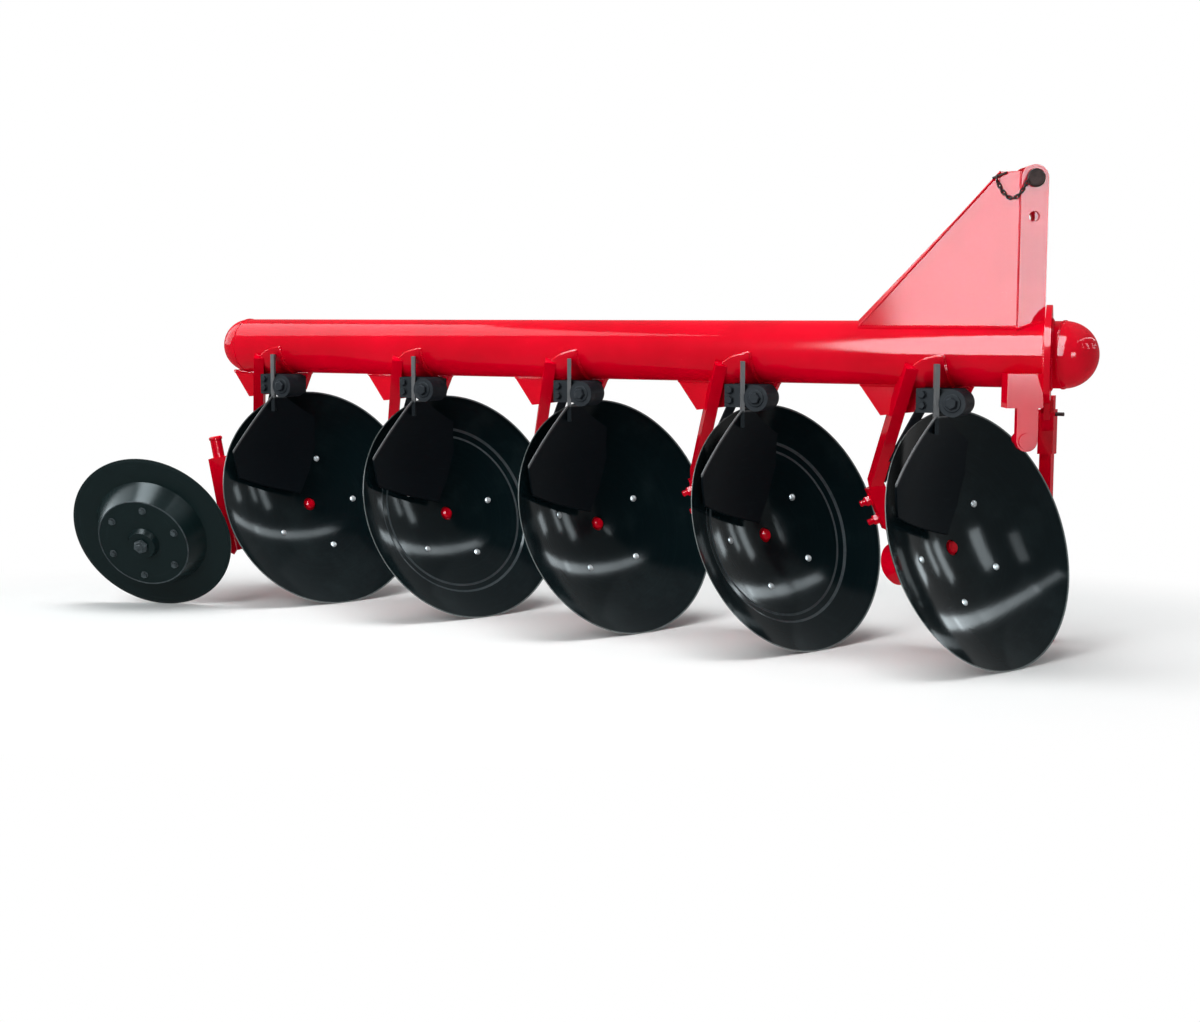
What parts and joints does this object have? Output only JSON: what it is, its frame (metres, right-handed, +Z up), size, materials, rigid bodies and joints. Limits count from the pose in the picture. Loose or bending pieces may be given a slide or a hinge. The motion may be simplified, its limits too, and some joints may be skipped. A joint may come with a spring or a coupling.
{
  "type": "disc plough",
  "caption": "Mounted disc plough: a pipe beam askew to the travel carries legs with free-turning concave discs and scrapers, a three-point hitch, a parking stand and a leaning furrow wheel.",
  "frame": {"origin": "on the floor, under the middle of the whole plough's box", "axes": "+X is the direction of travel, +Y the plough's left side, +Z up"},
  "size_m": [2.7544, 1.4724, 1.207],
  "materials": {
    "red_paint": "gloss",
    "black_disc": "gloss",
    "dark_scraper": "satin",
    "black_clamp": "satin",
    "pin_steel": "satin",
    "wheel_paint": "satin"
  },
  "bodies": {
    "frame": {"mast_strip": "red_paint", "collar_plate": "red_paint", "stand_arm": "red_paint", "mast_fin_right": "red_paint", "mast_upright_left": "red_paint", "lower_lug_left": "red_paint", "wheel_sleeve": "red_paint", "lower_lug_right": "red_paint", "beam_pipe": "red_paint", "wheel_arm": "red_paint", "mast_fin_left": "red_paint", "mast_upright_right": "red_paint", "beam_dome_front": "red_paint", "beam_dome_rear": "red_paint", "stand_sleeve": "red_paint", "hitch_block": "red_paint", "left_hitch_arm": "red_paint", "leg_1": "red_paint", "bearing_1": "red_paint", "scraper_1": "dark_scraper", "scraper_clamp_1": "black_clamp", "leg_2": "red_paint", "bearing_2": "red_paint", "scraper_2": "dark_scraper", "scraper_clamp_2": "black_clamp", "leg_3": "red_paint", "bearing_3": "red_paint", "scraper_3": "dark_scraper", "scraper_clamp_3": "black_clamp", "leg_4": "red_paint", "bearing_4": "red_paint", "scraper_4": "dark_scraper", "scraper_clamp_4": "black_clamp", "leg_5": "red_paint", "bearing_5": "red_paint", "scraper_5": "dark_scraper", "scraper_clamp_5": "black_clamp", "mast_pin": "pin_steel", "lower_pin_right": "pin_steel", "lower_pin_left": "pin_steel", "stand_lock_pin": "pin_steel", "wheel_crank": "pin_steel"},
    "disc_1": {"disc_1": "black_disc", "hub_1": "red_paint"},
    "disc_2": {"disc_2": "black_disc", "hub_2": "red_paint"},
    "disc_3": {"disc_3": "black_disc", "hub_3": "red_paint"},
    "disc_4": {"disc_4": "black_disc", "hub_4": "red_paint"},
    "disc_5": {"disc_5": "black_disc", "hub_5": "red_paint"},
    "wheel": {"furrow_wheel": "wheel_paint"},
    "stand": {"stand_leg": "red_paint"}
  },
  "joints": [
    {"name": "disc_1_spin", "type": "hinge", "parent": "frame", "child": "disc_1", "pos_m": [-0.66182, 0.48763, 0.31267], "axis": [0.595, -0.7348, 0.3256], "continuous": true},
    {"name": "disc_2_spin", "type": "hinge", "parent": "frame", "child": "disc_2", "pos_m": [-0.21959, 0.23763, 0.31267], "axis": [0.595, -0.7348, 0.3256], "continuous": true},
    {"name": "disc_3_spin", "type": "hinge", "parent": "frame", "child": "disc_3", "pos_m": [0.22263, -0.01237, 0.31267], "axis": [0.595, -0.7348, 0.3256], "continuous": true},
    {"name": "disc_4_spin", "type": "hinge", "parent": "frame", "child": "disc_4", "pos_m": [0.66486, -0.26237, 0.31267], "axis": [0.595, -0.7348, 0.3256], "continuous": true},
    {"name": "disc_5_spin", "type": "hinge", "parent": "frame", "child": "disc_5", "pos_m": [1.10709, -0.51237, 0.31267], "axis": [0.595, -0.7348, 0.3256], "continuous": true},
    {"name": "wheel_spin", "type": "hinge", "parent": "frame", "child": "wheel", "pos_m": [-1.13982, 0.30063, 0.22287], "axis": [-0.1752, -0.9093, -0.3775], "continuous": true},
    {"name": "stand_slide", "type": "slide", "parent": "frame", "child": "stand", "axis": [0, 0, 1], "range_m": [0, 0.3]}
  ]
}
